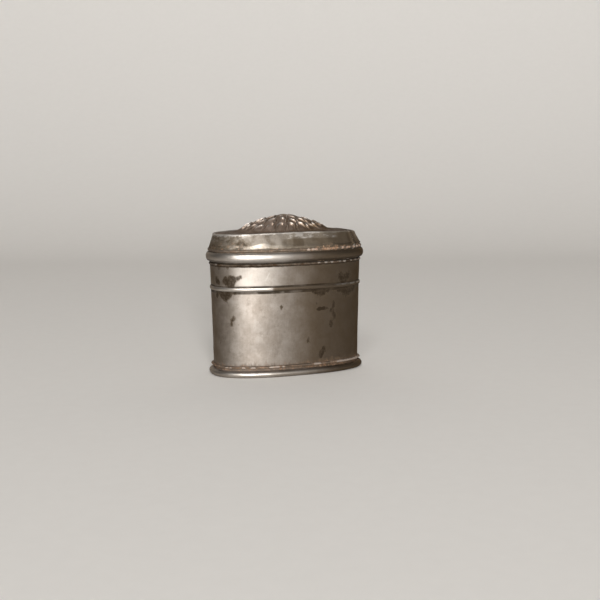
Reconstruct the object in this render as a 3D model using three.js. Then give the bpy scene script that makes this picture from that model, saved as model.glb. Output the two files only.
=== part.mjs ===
// An oval lime box of sheet silver: a tapering body on a moulded foot, and a lift-off lid whose flat
// top carries a raised dome of chased petals. Half-round drawn wires edge the body and the lid.
// Millimetres, Z up. The long axis is X, the front faces -Y, and the box stands on Z = 0.

import * as THREE from 'three';

// The outline of the body wall at its mouth, seen from above
const halfLength = 27;
const halfDepth = 13;
const squareness = 2.46; // exponent of the superellipse: 2 would be an ellipse

// The body and its base
const mouthHeight = 39.1;
const wallDraft = 0.9; // how far the wall leans in, from the mouth down to the base
const bodySheet = 0.6;
const baseSheet = 0.7;

// The collar inside the mouth, which the lid slips over
const collarSheet = 0.5;
const collarDepth = 5; // the part soldered inside the wall
const collarRise = 4.8; // the part that stands above the mouth
const collarLead = 0.15; // how far its top edge is drawn in

// The half-round wires: each has a width along Z and stands proud of its sheet
const footRollWidth = 2.45;
const footRollProud = 1.7;
const footCove = 0.7; // bare wall between the foot's roll and its wire
const footWireWidth = 0.9;
const footWireProud = 0.9;
const beadCentre = 30.45;
const beadWidth = 1.35;
const beadProud = 0.35;
const mouthWireWidth = 0.75;
const mouthWireProud = 0.3;
const lidRollWidth = 3.3;
const lidRollProud = 1.05;
const lidCove = 0.15;
const lidWireWidth = 1;
const lidWireProud = 0.4;

// The lid
const lidSheet = 0.6;
const rollLift = 0.15; // from the lid's lower edge up to its roll
const shoulderHeight = 5.25; // up to the lip, which stands above the border of the top
const shoulderInset = 1.85;
const lipHeight = 0.25;
const topArch = 0.6; // how much lower the lip is at the lid's two ends than at its middle
const topSheet = 0.6;
const topEdgeRound = 0.2;
const borderCrown = 0.35; // rise of the border, from the lid's edge to the dome

// The dome and its petals, in rows from the outside in
const domeHalfLength = 17.6;
const domeHalfDepth = 8;
const domeRise = 5.1;
const domePeak = 1.5; // exponent of the way out: lower is more pointed
const domeFlare = 1.2; // exponent of the profile: over 1, the dome's foot flares out
const petalRelief = 0.55;
const petalTipShift = 1.4; // over 1, it moves a petal's highest point up towards its tip
const outerPetals = 24;
const middlePetals = 16;
const innerPetals = 8;
const outerRowInside = 0.7; // where each row ends, as a part of the way out to the dome's foot
const middleRowInside = 0.4;
const innerRowInside = 0.14;
const bossRelief = 0.35;

// Clearances
const solderLine = 0.05; // between two pieces that are soldered together
const topFit = 0.15; // all round, between the top and the lip that it is let into
const lidClearance = 0.3; // all round, between the collar and the lid
const lidSeatGap = 0.3; // between the body's mouth and the lid's lower edge

// Facets
const ringStations = 64;
const domeStations = 96;
const wireFacets = 6;
const rollFacets = 8;
const ringsPerRow = 4;
const innerDomeRings = 5;

// Heights and offsets that follow from the sizes above
const lidBottom = mouthHeight + lidSeatGap;
const collarFace = -bodySheet - solderLine;
const skirtFace = collarFace + lidClearance + lidSheet;
const rollBottom = lidBottom + rollLift;
const lidWireBottom = rollBottom + lidRollWidth + lidCove;
const shoulderBottom = lidWireBottom + lidWireWidth + lidCove;
const shoulderTop = shoulderBottom + shoulderHeight;
const shoulderTopFace = skirtFace - shoulderInset;
const borderTop = shoulderTop - lipHeight;
const topUnderside = borderTop - topSheet;
const domeFoot = borderTop + borderCrown;

// A closed superellipse in the XY plane
class OvalOutline extends THREE.Curve {
  constructor(lengthRadius, depthRadius) {
    super();
    this.lengthRadius = lengthRadius;
    this.depthRadius = depthRadius;
    this.arcLengthDivisions = 2000;
  }

  getPoint(t, target = new THREE.Vector3()) {
    const along = Math.cos(2 * Math.PI * t);
    const across = Math.sin(2 * Math.PI * t);
    const power = 2 / squareness;
    return target.set(
      this.lengthRadius * Math.sign(along) * Math.abs(along) ** power,
      this.depthRadius * Math.sign(across) * Math.abs(across) ** power,
      0,
    );
  }

  // The outward normal is the gradient of the superellipse's equation
  normalAt({ x, y }) {
    const power = squareness - 1;
    return new THREE.Vector3(
      (Math.sign(x) * (Math.abs(x) / this.lengthRadius) ** power) / this.lengthRadius,
      (Math.sign(y) * (Math.abs(y) / this.depthRadius) ** power) / this.depthRadius,
      0,
    ).normalize();
  }

  // The points pushed out by an offset, each along its own normal
  pushedOut(points, offset) {
    return points.map((point) => point.clone().addScaledVector(this.normalAt(point), offset));
  }
}

const wallOutline = new OvalOutline(halfLength, halfDepth);
const domeOutline = new OvalOutline(domeHalfLength, domeHalfDepth);
const wallPoints = wallOutline.getPoints(ringStations).slice(0, ringStations);

// The body wall's outer face at a height, as an offset from the outline at its mouth
const wallFace = (z) => -wallDraft * THREE.MathUtils.clamp(1 - z / mouthHeight, 0, 1);

function geometryFrom(points, triangles) {
  const geometry = new THREE.BufferGeometry().setFromPoints(points);
  geometry.setIndex(triangles);
  geometry.computeVertexNormals();
  return geometry;
}

// Two triangles for each cell between loop number `first` and the loop after it
function bandTriangles(first, second, count) {
  const triangles = [];
  for (let i = 0; i < count; i += 1) {
    const next = (i + 1) % count;
    triangles.push(first + i, second + i, second + next);
    triangles.push(first + i, second + next, first + next);
  }
  return triangles;
}

// A closed section of [offset, z] points, drawn anticlockwise with the offset to the right, is
// carried round the outline.
function ringGeometry(section) {
  const loops = section.map(([offset, z]) =>
    wallOutline.pushedOut(wallPoints, offset).map((point) => point.setZ(z)),
  );
  const triangles = section.flatMap((corner, index) => {
    const upper = (index + 1) % section.length;
    return bandTriangles(upper * ringStations, index * ringStations, ringStations);
  });
  return geometryFrom(loops.flat(), triangles);
}

// A half-round wire on a face that may lean: flat at the back and half an ellipse at the front
function halfRound(faceAt, bottom, width, proud, facets) {
  const section = [];
  for (let i = 0; i <= facets; i += 1) {
    const angle = Math.PI * (i / facets - 0.5);
    const z = bottom + (width / 2) * (1 + Math.sin(angle));
    section.push([faceAt(z) + solderLine + proud * Math.cos(angle), z]);
  }
  return ringGeometry(section);
}

function bodyWall() {
  const bottom = baseSheet + solderLine;
  return ringGeometry([
    [wallFace(bottom), bottom],
    [wallFace(mouthHeight), mouthHeight],
    [wallFace(mouthHeight) - bodySheet, mouthHeight],
    [wallFace(bottom) - bodySheet, bottom],
  ]);
}

function basePlate() {
  const corners = wallOutline.pushedOut(wallPoints, wallFace(0));
  const outline = new THREE.Shape(corners.map(({ x, y }) => new THREE.Vector2(x, y)));
  return new THREE.ExtrudeGeometry(outline, { depth: baseSheet, bevelEnabled: false });
}

// The collar follows the wall's lean below the mouth and stands straight above it
function innerCollar() {
  const bottom = mouthHeight - collarDepth;
  const top = mouthHeight + collarRise;
  const bottomFace = wallFace(bottom) + collarFace;
  const leadStart = top - 2 * collarSheet;
  return ringGeometry([
    [bottomFace, bottom],
    [collarFace, mouthHeight],
    [collarFace, leadStart],
    [collarFace - collarLead, top],
    [collarFace - collarLead - collarSheet, top],
    [collarFace - collarSheet, leadStart],
    [collarFace - collarSheet, mouthHeight],
    [bottomFace - collarSheet, bottom],
  ]);
}

// The lid's skirt and shoulder are one sheet: straight behind the wires, then leaning in
function lidWall() {
  return ringGeometry([
    [skirtFace, lidBottom],
    [skirtFace, shoulderBottom],
    [shoulderTopFace, shoulderTop],
    [shoulderTopFace - lidSheet, shoulderTop],
    [skirtFace - lidSheet, shoulderBottom],
    [skirtFace - lidSheet, lidBottom],
  ]);
}

// How far up the shoulder a height is, from 0 at its foot to 1 at its lip
const climbTo = (z) => THREE.MathUtils.clamp((z - shoulderBottom) / shoulderHeight, 0, 1);

// The face of the lid's top, where it meets the inside of the leaning shoulder
const topFace = (z) => skirtFace - shoulderInset * climbTo(z) - lidSheet - topFit;

// The lid's top is arched along its length, so it is lower towards its two ends
function archedOver(geometry) {
  const places = geometry.getAttribute('position');
  for (let i = 0; i < places.count; i += 1) {
    const drop = topArch * climbTo(places.getZ(i)) * (places.getX(i) / halfLength) ** 2;
    places.setZ(i, places.getZ(i) - drop);
  }
  geometry.computeVertexNormals();
  return geometry;
}

// The relief of one row of petals, whose tips point up the dome. `inward` and `outward` are the row's
// inner and outer edges, and every other row is turned by half a petal.
function rowRelief(reach, turn, inward, outward, petals, shift) {
  const along = (outward - reach) / (outward - inward);
  if (along <= 0 || along >= 1) return 0;
  const lengthwise = Math.sin(Math.PI * along ** petalTipShift);
  const crosswise = Math.cos(Math.PI * (petals * turn + shift)) ** 2;
  return petalRelief * lengthwise * crosswise;
}

// The height of the petals above the plain dome, at a part of the way out and a part of a turn
function petalHeight(reach, turn) {
  if (reach < innerRowInside) return bossRelief * (1 - (reach / innerRowInside) ** 2);
  return (
    rowRelief(reach, turn, outerRowInside, 1, outerPetals, 0) +
    rowRelief(reach, turn, middleRowInside, outerRowInside, middlePetals, 0.5) +
    rowRelief(reach, turn, innerRowInside, middleRowInside, innerPetals, 0)
  );
}

// The parts of the way out at which the dome has a ring of points, from its centre to its foot
function domeReaches() {
  const edges = [innerRowInside, middleRowInside, outerRowInside, 1];
  const reaches = [innerRowInside / 2];
  for (let row = 1; row < edges.length; row += 1) {
    for (let i = 0; i < ringsPerRow; i += 1) {
      reaches.push(THREE.MathUtils.lerp(edges[row - 1], edges[row], i / ringsPerRow));
    }
  }
  return [...reaches, 1];
}

// The plain dome's profile: the part of its rise at a part of the way out
const swell = (reach) => (1 - reach ** domePeak) ** domeFlare;

// The flat border and the dome are one sheet, raised from below, so the underside is hollow
function lidTop() {
  const turns = Array.from({ length: domeStations }, (_, i) => i / domeStations);
  const edgePoints = wallOutline.getSpacedPoints(domeStations).slice(0, domeStations);
  const footPoints = domeOutline.getSpacedPoints(domeStations).slice(0, domeStations);
  const hollowPoints = domeOutline.pushedOut(footPoints, -topSheet);
  const edgeLoop = (offset, z) =>
    wallOutline.pushedOut(edgePoints, offset).map((point) => point.setZ(z));
  const domeLoop = (reach) =>
    footPoints.map((point, i) => {
      const z = domeFoot + domeRise * swell(reach) + petalHeight(reach, turns[i]);
      return point.clone().multiplyScalar(reach).setZ(z);
    });
  const hollowLoop = (reach) =>
    hollowPoints.map((point) => {
      const z = domeFoot - topSheet + domeRise * swell(reach);
      return point.clone().multiplyScalar(reach).setZ(z);
    });
  const hollowReaches = Array.from({ length: innerDomeRings }, (_, i) => 1 - i / innerDomeRings);
  const loops = [
    ...domeReaches().map(domeLoop),
    edgeLoop(topFace(borderTop) - topEdgeRound, borderTop),
    edgeLoop(topFace(borderTop - topEdgeRound), borderTop - topEdgeRound),
    edgeLoop(topFace(topUnderside), topUnderside),
    ...hollowReaches.map(hollowLoop),
  ];
  const points = loops.flat();
  const centreAbove = points.length;
  const centreBelow = points.length + 1;
  points.push(new THREE.Vector3(0, 0, domeFoot + domeRise + bossRelief));
  points.push(new THREE.Vector3(0, 0, domeFoot - topSheet + domeRise));
  const triangles = [];
  for (let loop = 1; loop < loops.length; loop += 1) {
    triangles.push(...bandTriangles((loop - 1) * domeStations, loop * domeStations, domeStations));
  }
  const last = (loops.length - 1) * domeStations;
  for (let i = 0; i < domeStations; i += 1) {
    const next = (i + 1) % domeStations;
    triangles.push(centreAbove, i, next);
    triangles.push(centreBelow, last + next, last + i);
  }
  return geometryFrom(points, triangles);
}

function piece(name, geometry, colour, roughness) {
  const material = new THREE.MeshStandardMaterial({ color: colour, roughness, metalness: 1 });
  const mesh = new THREE.Mesh(geometry, material);
  mesh.name = name;
  return mesh;
}

const wornSilver = '#a9a197';
const brightSilver = '#b9b3ac';
const darkSilver = '#847a6d';
const skirt = () => skirtFace;

const body = new THREE.Group();
body.add(
  piece('body_wall', bodyWall(), wornSilver, 0.42),
  piece('base_plate', basePlate(), darkSilver, 0.5),
  piece('inner_collar', innerCollar(), wornSilver, 0.4),
  piece('foot_roll', halfRound(wallFace, 0, footRollWidth, footRollProud, rollFacets), brightSilver, 0.34),
  piece(
    'foot_wire',
    halfRound(wallFace, footRollWidth + footCove, footWireWidth, footWireProud, wireFacets),
    darkSilver,
    0.45,
  ),
  piece(
    'body_bead',
    halfRound(wallFace, beadCentre - beadWidth / 2, beadWidth, beadProud, wireFacets),
    brightSilver,
    0.36,
  ),
  piece(
    'mouth_wire',
    halfRound(wallFace, mouthHeight - mouthWireWidth, mouthWireWidth, mouthWireProud, wireFacets),
    darkSilver,
    0.45,
  ),
);

const lid = new THREE.Group();
lid.add(
  piece('lid_wall', archedOver(lidWall()), wornSilver, 0.42),
  piece('lid_roll', halfRound(skirt, rollBottom, lidRollWidth, lidRollProud, rollFacets), brightSilver, 0.3),
  piece(
    'lid_wire',
    halfRound(skirt, lidWireBottom, lidWireWidth, lidWireProud, wireFacets),
    darkSilver,
    0.45,
  ),
  piece('lid_top', archedOver(lidTop()), darkSilver, 0.42),
);

const limeBox = new THREE.Group();
limeBox.add(body, lid);

export default limeBox;
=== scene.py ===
# %% [markdown]
# The object is a lime container: a small oval box of silver sheet with a lift-off lid, made to carry
# slaked lime for chewing with betel. The imported model holds its eleven solids in their true places. This
# script dresses them: each solid is copied, rounded, dented and given a finish of old, tarnished
# silver. The imported model is loaded first, and each of its solids is hidden once its copy is finished.

# %% Load the imported model
import math

import bpy
import numpy as np
from mathutils import Matrix, Vector, noise


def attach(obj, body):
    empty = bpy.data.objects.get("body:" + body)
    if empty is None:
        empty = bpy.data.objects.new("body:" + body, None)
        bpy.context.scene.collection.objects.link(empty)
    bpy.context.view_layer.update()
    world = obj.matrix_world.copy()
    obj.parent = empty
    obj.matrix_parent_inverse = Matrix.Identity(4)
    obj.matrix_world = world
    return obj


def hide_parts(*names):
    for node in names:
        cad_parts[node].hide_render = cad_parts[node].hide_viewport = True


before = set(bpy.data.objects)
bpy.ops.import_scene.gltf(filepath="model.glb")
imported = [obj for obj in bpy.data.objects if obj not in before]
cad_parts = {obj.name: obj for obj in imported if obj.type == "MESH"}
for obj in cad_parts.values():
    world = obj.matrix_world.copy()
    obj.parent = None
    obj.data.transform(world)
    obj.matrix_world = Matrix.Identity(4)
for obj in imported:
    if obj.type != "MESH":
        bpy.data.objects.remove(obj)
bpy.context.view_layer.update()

MM = 0.001

# %% [markdown]
# The photograph looks at one broad side from a little above, with the box turned about twenty degrees. A
# camera is placed in the box's own frame, so every solid stays where the model has it. Rotations are read
# from right to left: a small roll, then the tilt down, then the turn about the upright axis.

# %% Camera
CAMERA_PLACE = (-124.9, -362.5, 80.7)
CAMERA_TURN = -19.75
CAMERA_TILT = 8.33
CAMERA_ROLL = -0.45

camera_data = bpy.data.cameras.new("camera")
camera_data.lens = 66
camera_data.sensor_width = 36
camera_data.clip_start = 0.01
camera = bpy.data.objects.new("camera", camera_data)
bpy.context.scene.collection.objects.link(camera)
turned = Matrix.Rotation(math.radians(CAMERA_TURN), 4, "Z")
tilted = Matrix.Rotation(math.radians(90 - CAMERA_TILT), 4, "X")
rolled = Matrix.Rotation(math.radians(CAMERA_ROLL), 4, "Z")
placed = Matrix.Translation(Vector(CAMERA_PLACE) * MM)
camera.matrix_world = placed @ turned @ tilted @ rolled
bpy.context.scene.camera = camera
print("camera at", CAMERA_PLACE)

# %% [markdown]
# Each piece starts as a copy of its CAD solid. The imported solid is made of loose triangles, so the copy
# is welded and its triangles are joined in pairs: four-sided faces round evenly, and triangles don't.
# Nothing else may be selected, because an operator acts on everything that is.

# %% Copy a solid
def pick(piece):
    """Selects this piece alone and makes it the active one."""
    bpy.ops.object.select_all(action="DESELECT")
    piece.select_set(True)
    bpy.context.view_layer.objects.active = piece


def welded_copy(node_name, piece_name):
    """Copies a CAD solid as a new piece, welded and with four-sided faces."""
    pick(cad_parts[node_name])
    bpy.ops.object.duplicate()
    piece = bpy.context.view_layer.objects.active
    piece.name = piece_name
    piece.data.name = piece_name
    piece.data.materials.clear()
    piece.parent = None
    for key in list(piece.keys()):
        del piece[key]
    bpy.ops.mesh.customdata_custom_splitnormals_clear()
    bpy.ops.object.mode_set(mode="EDIT")
    bpy.ops.mesh.select_all(action="SELECT")
    bpy.ops.mesh.remove_doubles(threshold=0.005 * MM)
    bpy.ops.mesh.tris_convert_to_quads(
        face_threshold=math.radians(60), shape_threshold=math.radians(60)
    )
    bpy.ops.object.mode_set(mode="OBJECT")
    return piece


# %% [markdown]
# A sheet has soft edges where a file has been over it, and a drawn wire is round. A Bevel modifier
# softens the edges that are sharper than a given angle, and a Subdivision Surface rounds the whole piece.
# A wall needs rows of points between its edges, so it is first cut level at a few heights.

# %% Cut, soften and round
def cut_level(piece, heights):
    """Cuts the piece level at each height in millimetres, so that it has points there."""
    pick(piece)
    bpy.ops.object.mode_set(mode="EDIT")
    for height in heights:
        bpy.ops.mesh.select_all(action="SELECT")
        bpy.ops.mesh.bisect(plane_co=(0, 0, height * MM), plane_no=(0, 0, 1), use_fill=False)
    bpy.ops.object.mode_set(mode="OBJECT")


def apply_last(piece, modifier):
    """Applies a modifier to its piece."""
    pick(piece)
    bpy.ops.object.modifier_apply(modifier=modifier.name)


def soften_edges(piece, width, sharper_than=35):
    """Bevels the edges that are sharper than an angle in degrees."""
    modifier = piece.modifiers.new("soft edges", "BEVEL")
    modifier.limit_method = "ANGLE"
    modifier.angle_limit = math.radians(sharper_than)
    modifier.width = width * MM
    modifier.segments = 2
    apply_last(piece, modifier)


def round_off(piece, levels):
    """Rounds the piece with a Subdivision Surface."""
    modifier = piece.modifiers.new("rounding", "SUBSURF")
    modifier.levels = levels
    modifier.render_levels = levels
    apply_last(piece, modifier)


def smooth(piece, angle=50):
    """Shades the piece smooth, and keeps the edges that are sharper than the angle."""
    pick(piece)
    bpy.ops.object.shade_smooth_by_angle(angle=math.radians(angle))


# %% [markdown]
# Old sheet silver is never quite true: it has been beaten, carried and dropped. By hand that would be a
# few strokes of a sculpting brush. Here every point is moved straight out of the oval by a smooth noise,
# so both faces of the sheet move together and the box keeps its thickness.

# %% Move points by hand
HALF_LENGTH = 27.0
HALF_DEPTH = 13.0
SQUARENESS = 2.46


def points_of(piece):
    """The piece's points, one row each, in millimetres."""
    places = np.empty(len(piece.data.vertices) * 3)
    piece.data.vertices.foreach_get("co", places)
    return places.reshape(-1, 3) / MM


def set_points(piece, points):
    """Puts the piece's points at these places in millimetres."""
    piece.data.vertices.foreach_set("co", (points * MM).ravel())
    piece.data.update()


def lumps(points, size, seed):
    """Smooth noise from about -1 to 1 at each point, in lumps of a size in millimetres."""
    start = Vector((17.3 * seed, 5.1 * seed, 9.7 * seed))
    return np.array([noise.noise(Vector(point) / size + start) for point in points])


def fade(values, low, high):
    """Rises smoothly from 0 at low to 1 at high, and falls where low is the greater."""
    part = np.clip((values - low) / (high - low), 0, 1)
    return part * part * (3 - 2 * part)


def push_out(piece, distance_of):
    """Moves each point straight out of the oval by distance_of(points), in millimetres."""
    points = points_of(piece)
    steep = SQUARENESS - 1
    out_x = np.sign(points[:, 0]) * (np.abs(points[:, 0]) / HALF_LENGTH) ** steep / HALF_LENGTH
    out_y = np.sign(points[:, 1]) * (np.abs(points[:, 1]) / HALF_DEPTH) ** steep / HALF_DEPTH
    size = np.hypot(out_x, out_y) + 1e-9
    distance = distance_of(points)
    points[:, 0] += out_x / size * distance
    points[:, 1] += out_y / size * distance
    set_points(piece, points)


def body_dents(points):
    """The dents of the container, which fade out below its mouth so that the lid still fits."""
    deep = 0.09 * lumps(points, 11, 1) + 0.03 * lumps(points, 4, 2) - 0.02
    return deep * fade(points[:, 2], 39, 35)


def finish_piece(piece, body, node_name, material):
    """Gives a finished piece its finish, says what it rides on, and hides the CAD solid that it stands for.
    """
    piece.data.materials.append(material)
    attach(piece, body)
    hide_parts(node_name)
    print(piece.name, "rides on", body, "with", len(piece.data.polygons), "faces")


# %% [markdown]
# A finish is a small network of nodes. Its sums read best as sums, so one class wraps a socket and lets
# Python's own signs add the Math nodes: 1 - mask is a node that takes a mask away from one. Numbers alone
# are worked out in Python and need no node.

# %% Sums on sockets
class Wire:
    """The output of a node, which can be used in sums."""

    def __init__(self, tree, socket):
        self.tree = tree
        self.socket = socket

    def sum(self, operation, first, second):
        """Adds a Math node for two values, either of which may be a number."""
        node = self.tree.nodes.new("ShaderNodeMath")
        node.operation = operation
        for place, value in enumerate((first, second)):
            if isinstance(value, Wire):
                self.tree.links.new(value.socket, node.inputs[place])
            else:
                node.inputs[place].default_value = value
        return Wire(self.tree, node.outputs[0])

    def __add__(self, other):
        return self.sum("ADD", self, other)

    def __radd__(self, other):
        return self.sum("ADD", other, self)

    def __sub__(self, other):
        return self.sum("SUBTRACT", self, other)

    def __rsub__(self, other):
        return self.sum("SUBTRACT", other, self)

    def __mul__(self, other):
        return self.sum("MULTIPLY", self, other)

    def __rmul__(self, other):
        return self.sum("MULTIPLY", other, self)

    def __pow__(self, other):
        return self.sum("POWER", self, other)

    def most(self, other):
        """The greater of two values."""
        return self.sum("MAXIMUM", self, other)

    def least(self, other):
        """The smaller of two values."""
        return self.sum("MINIMUM", self, other)


# %% [markdown]
# Every finish here reads the object's own coordinates, turned into millimetres by a Mapping node, so a
# stain stays on its place when the lid moves. Noise gives the uneven parts. A mask is a value from 0 to 1
# over the surface: a band between two heights, or stains with ragged edges round a list of places.

# %% Start a finish
class Finish:
    """The node material of one piece."""

    def __init__(self, name):
        self.material = bpy.data.materials.new(name)
        self.material.use_nodes = True
        self.tree = self.material.node_tree
        self.tree.nodes.clear()
        place = self.node("ShaderNodeTexCoord", output="Object")
        self.place = self.node("ShaderNodeMapping", values={"Vector": place, "Scale": (1000, 1000, 1000)})
        self.x = self.node("ShaderNodeSeparateXYZ", values={"Vector": self.place}, output="X")
        self.y = self.node("ShaderNodeSeparateXYZ", values={"Vector": self.place}, output="Y")
        self.height = self.node("ShaderNodeSeparateXYZ", values={"Vector": self.place}, output="Z")

    def node(self, kind, settings=None, values=None, output=0):
        """Adds a node: its settings first, then the values or links of its sockets."""
        made = self.tree.nodes.new(kind)
        for name, value in (settings or {}).items():
            setattr(made, name, value)
        for name, value in (values or {}).items():
            if isinstance(value, Wire):
                self.tree.links.new(value.socket, made.inputs[name])
            else:
                made.inputs[name].default_value = value
        return Wire(self.tree, made.outputs[output]) if made.outputs else made

    def vector(self, operation, first, second):
        """A Vector Math node for two vectors."""
        return self.node("ShaderNodeVectorMath", {"operation": operation}, {0: first, 1: second})

    def distance(self, place, vector):
        """How far each point of the surface is from a place."""
        return self.node("ShaderNodeVectorMath", {"operation": "DISTANCE"}, {0: vector, 1: place}, "Value")

    def mix(self, factor, first, second):
        """One colour where the factor is 0, another where it is 1."""
        settings = {"data_type": "RGBA", "clamp_factor": True}
        return self.node("ShaderNodeMix", settings, {0: factor, 6: first, 7: second}, 2)

    def step(self, value, low, high):
        """Rises smoothly from 0 at low to 1 at high, and falls where low is the greater."""
        return self.node(
            "ShaderNodeMapRange",
            {"interpolation_type": "SMOOTHSTEP"},
            {"Value": value, "From Min": low, "From Max": high},
        )

    def grain(self, size, detail=2.0, seed=0.0, roughness=0.5, stretch=(1, 1, 1)):
        """Noise from 0 to 1 in grains of a size in millimetres, which may be stretched."""
        place = self.place
        if stretch != (1, 1, 1):
            place = self.vector("MULTIPLY", self.place, tuple(1 / part for part in stretch))
        return self.node(
            "ShaderNodeTexNoise",
            {"noise_dimensions": "4D"},
            {"Vector": place, "W": seed, "Scale": 1 / size, "Detail": detail, "Roughness": roughness},
        )

    def band(self, low, high, soft, value=None):
        """1 between two heights, fading over a soft edge."""
        height = self.height if value is None else value
        return self.step(height, low - soft, low) * self.step(height, high + soft, high)

    def round_marks(self, marks, upright=1.0):
        """A value that rises from 0 to 1 towards the middle of each mark, and adds up where marks meet."""
        squeeze = (1, 1, 1 / upright)
        squeezed = self.vector("MULTIPLY", self.place, squeeze)
        field = 0.0
        for place, radius in marks:
            place = tuple(part * share for part, share in zip(place, squeeze))
            field = self.step(self.distance(place, squeezed), 1.7 * radius, 0.0) + field
        return field

    def ragged_mask(self, field, seed, low, high, upright=1.0):
        """1 where a value is high, with a ragged edge."""
        ragged = (self.grain(1.1, 5, seed, 0.75, (1, 1, upright)) - 0.5) * 2.0
        return self.step(field + ragged, low, high)

    def stains(self, marks, seed, upright=1.0):
        """All the stains of a list of places and sizes, as one mask with ragged edges."""
        return self.ragged_mask(self.round_marks(marks, upright), seed, 0.42, 0.8, upright)

    def unsigned(self, value):
        """A value without its sign."""
        return self.node("ShaderNodeMath", {"operation": "ABSOLUTE"}, {0: value})

    def line(self, offset, width, soft):
        """1 along a line, where the offset from it in millimetres is near 0."""
        return self.step(self.unsigned(offset), width + soft, width)

    def front(self):
        """1 on the front of the oval, fading round its ends."""
        return self.step(self.y, 2, -4)


# %% [markdown]
# Silver that has been handled for years is bright where it is rubbed, and elsewhere it has a film of
# silver sulphide that goes from straw through brown to black. The metal under a thin film still shines.
# This closing step takes masks of the film, of the dirt and of an orange crust, mottles the metal, adds
# fine polishing marks, and joins it all to a Principled shader. The crust has two tones in fine grains,
# and the metal itself may be given a warmer tone. What varies goes to colour, roughness, metallic and a
# bump. In some pieces the film and dirt masks also carry painted shade, and the worn mask carries painted
# highlights.

# %% Close a silver finish
BRIGHT = (0.365, 0.324, 0.285, 1)
GOLDEN = (0.42, 0.355, 0.275, 1)
ROSY = (0.47, 0.37, 0.31, 1)
DULL = (0.185, 0.149, 0.115, 1)
# The film colour stands for tarnish and also for painted shade; the polished colour stands for rubbed
# silver and also for painted highlights.
TARNISH_AND_SHADE = (0.084, 0.056, 0.030, 1)
POLISH_AND_HIGHLIGHT = (0.62, 0.575, 0.525, 1)
BROWN = (0.024, 0.016, 0.009, 1)
CRUST = (0.35, 0.19, 0.105, 1)
PALE_CRUST = (0.60, 0.43, 0.31, 1)
BUMP_HEIGHT = 0.06 * MM


def silver(
    finish, dirt_and_shade, crust=0.0, film_and_shade=0.0, shine=0.4, mottle=0.5, wear_and_highlight=None, seed=0.0, metal=BRIGHT
):
    """Old silver with film, dirt and crust where their masks say, and brighter where it is worn; in some
    pieces the film and dirt masks also carry painted shade, and the worn mask painted highlights.
    """
    patches = finish.step(finish.grain(4.5, 5, 1 + seed, 0.68), 0.68, 0.36)
    satin = finish.grain(0.5, 3, 8 + seed, 0.6, (1, 1, 7))
    tone = finish.mix(patches * mottle + (satin - 0.5) * 0.5, metal, DULL)
    specks = finish.step(finish.grain(0.5, 2, 2 + seed, 0.6), 0.64, 0.76)
    veil = finish.step(finish.grain(2.4, 5, 3 + seed, 0.68), 0.5, 0.78) * mottle
    haze_and_shade = veil.most(specks * mottle * 0.6).most(film_and_shade)
    soot_and_shade = dirt_and_shade
    if wear_and_highlight is not None:
        haze_and_shade = haze_and_shade * (1 - wear_and_highlight * 0.85)
        soot_and_shade = soot_and_shade * (1 - wear_and_highlight * 0.7)
        tone = finish.mix(wear_and_highlight, tone, POLISH_AND_HIGHLIGHT)
    tone = finish.mix(haze_and_shade * 0.85, tone, TARNISH_AND_SHADE)
    tone = finish.mix(soot_and_shade, tone, BROWN)
    crumbs = finish.step(finish.grain(0.5, 3, 4 + seed, 0.7), 0.4, 0.62)
    pale_grains = finish.step(finish.grain(0.6, 3, 9 + seed, 0.6), 0.5, 0.64)
    crust_tone = finish.mix(pale_grains, CRUST, PALE_CRUST)
    tone = finish.mix(crust * (0.25 + 0.75 * crumbs), tone, crust_tone)
    scratch_a = finish.grain(0.16, 1, 5 + seed, 0.5, (14, 1, 1.3))
    scratch_b = finish.grain(0.14, 1, 6 + seed, 0.5, (1.2, 1, 16))
    scratches = finish.step(scratch_a, 0.6, 0.75) + finish.step(scratch_b, 0.62, 0.75) * 0.6
    rough = shine + haze_and_shade * 0.06 + soot_and_shade * 0.2 + crust * 0.3 + patches * 0.05 * mottle + scratches * 0.03
    metallic = 1 - soot_and_shade * 0.88 - crust * 0.6
    relief = (
        finish.grain(1.5, 3, 7 + seed, 0.55) * 0.5
        + scratches * -0.05
        + crust * crumbs * 0.9
        - soot_and_shade * 0.15
    )
    bump = finish.node(
        "ShaderNodeBump", None, {"Height": relief, "Strength": 0.4, "Distance": BUMP_HEIGHT}, "Normal"
    )
    shader = finish.node(
        "ShaderNodeBsdfPrincipled",
        None,
        {
            "Base Color": tone,
            "Roughness": rough.least(0.9),
            "Metallic": metallic.most(0.1),
            "Normal": bump,
            "Specular IOR Level": 0.2,
            "Specular Tint": (0.42, 0.38, 0.34, 1),
        },
    )
    finish.node("ShaderNodeOutputMaterial", None, {"Surface": shader})
    return finish.material


# %% [markdown]
# The wall is one oval sheet, 0.6 mm thick, a little narrower at the foot. Two lines are chased into it
# where the bead lies, so it is cut there and the points of each line are pressed in. The rest is only
# dented.

# %% Wall of the container
BEAD_LOW = 29.77
BEAD_HIGH = 31.12
CHASED_WIDTH = 0.16
CHASED_DEPTH = 0.14


def wall_moves(points):
    """The wall's dents and the two chased lines along the bead."""
    below = np.exp(-(((points[:, 2] - BEAD_LOW + CHASED_WIDTH) / CHASED_WIDTH) ** 2))
    above = np.exp(-(((points[:, 2] - BEAD_HIGH - CHASED_WIDTH) / CHASED_WIDTH) ** 2))
    return body_dents(points) - CHASED_DEPTH * (below + above)


wall = welded_copy("body_wall", "wall_sheet")
soften_edges(wall, 0.12)
cut_level(wall, [3, 6.5, 10, 13.5, 17, 20.5, 24, 27, 29.2, 29.6, 30.4, 31.3, 31.7, 34, 36.5])
round_off(wall, 2)
push_out(wall, wall_moves)
smooth(wall)

# %% [markdown]
# The wall's stains are placed one by one, where the old box has them: a dark blotch near the upper left,
# a few spots, and brown drips that run down from the bead. Each has a dark core and a wider brown halo,
# which are two cuts through the same ragged value. A drip's length comes from noise that ignores height,
# so that it hangs from the bead like a curtain.

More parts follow.
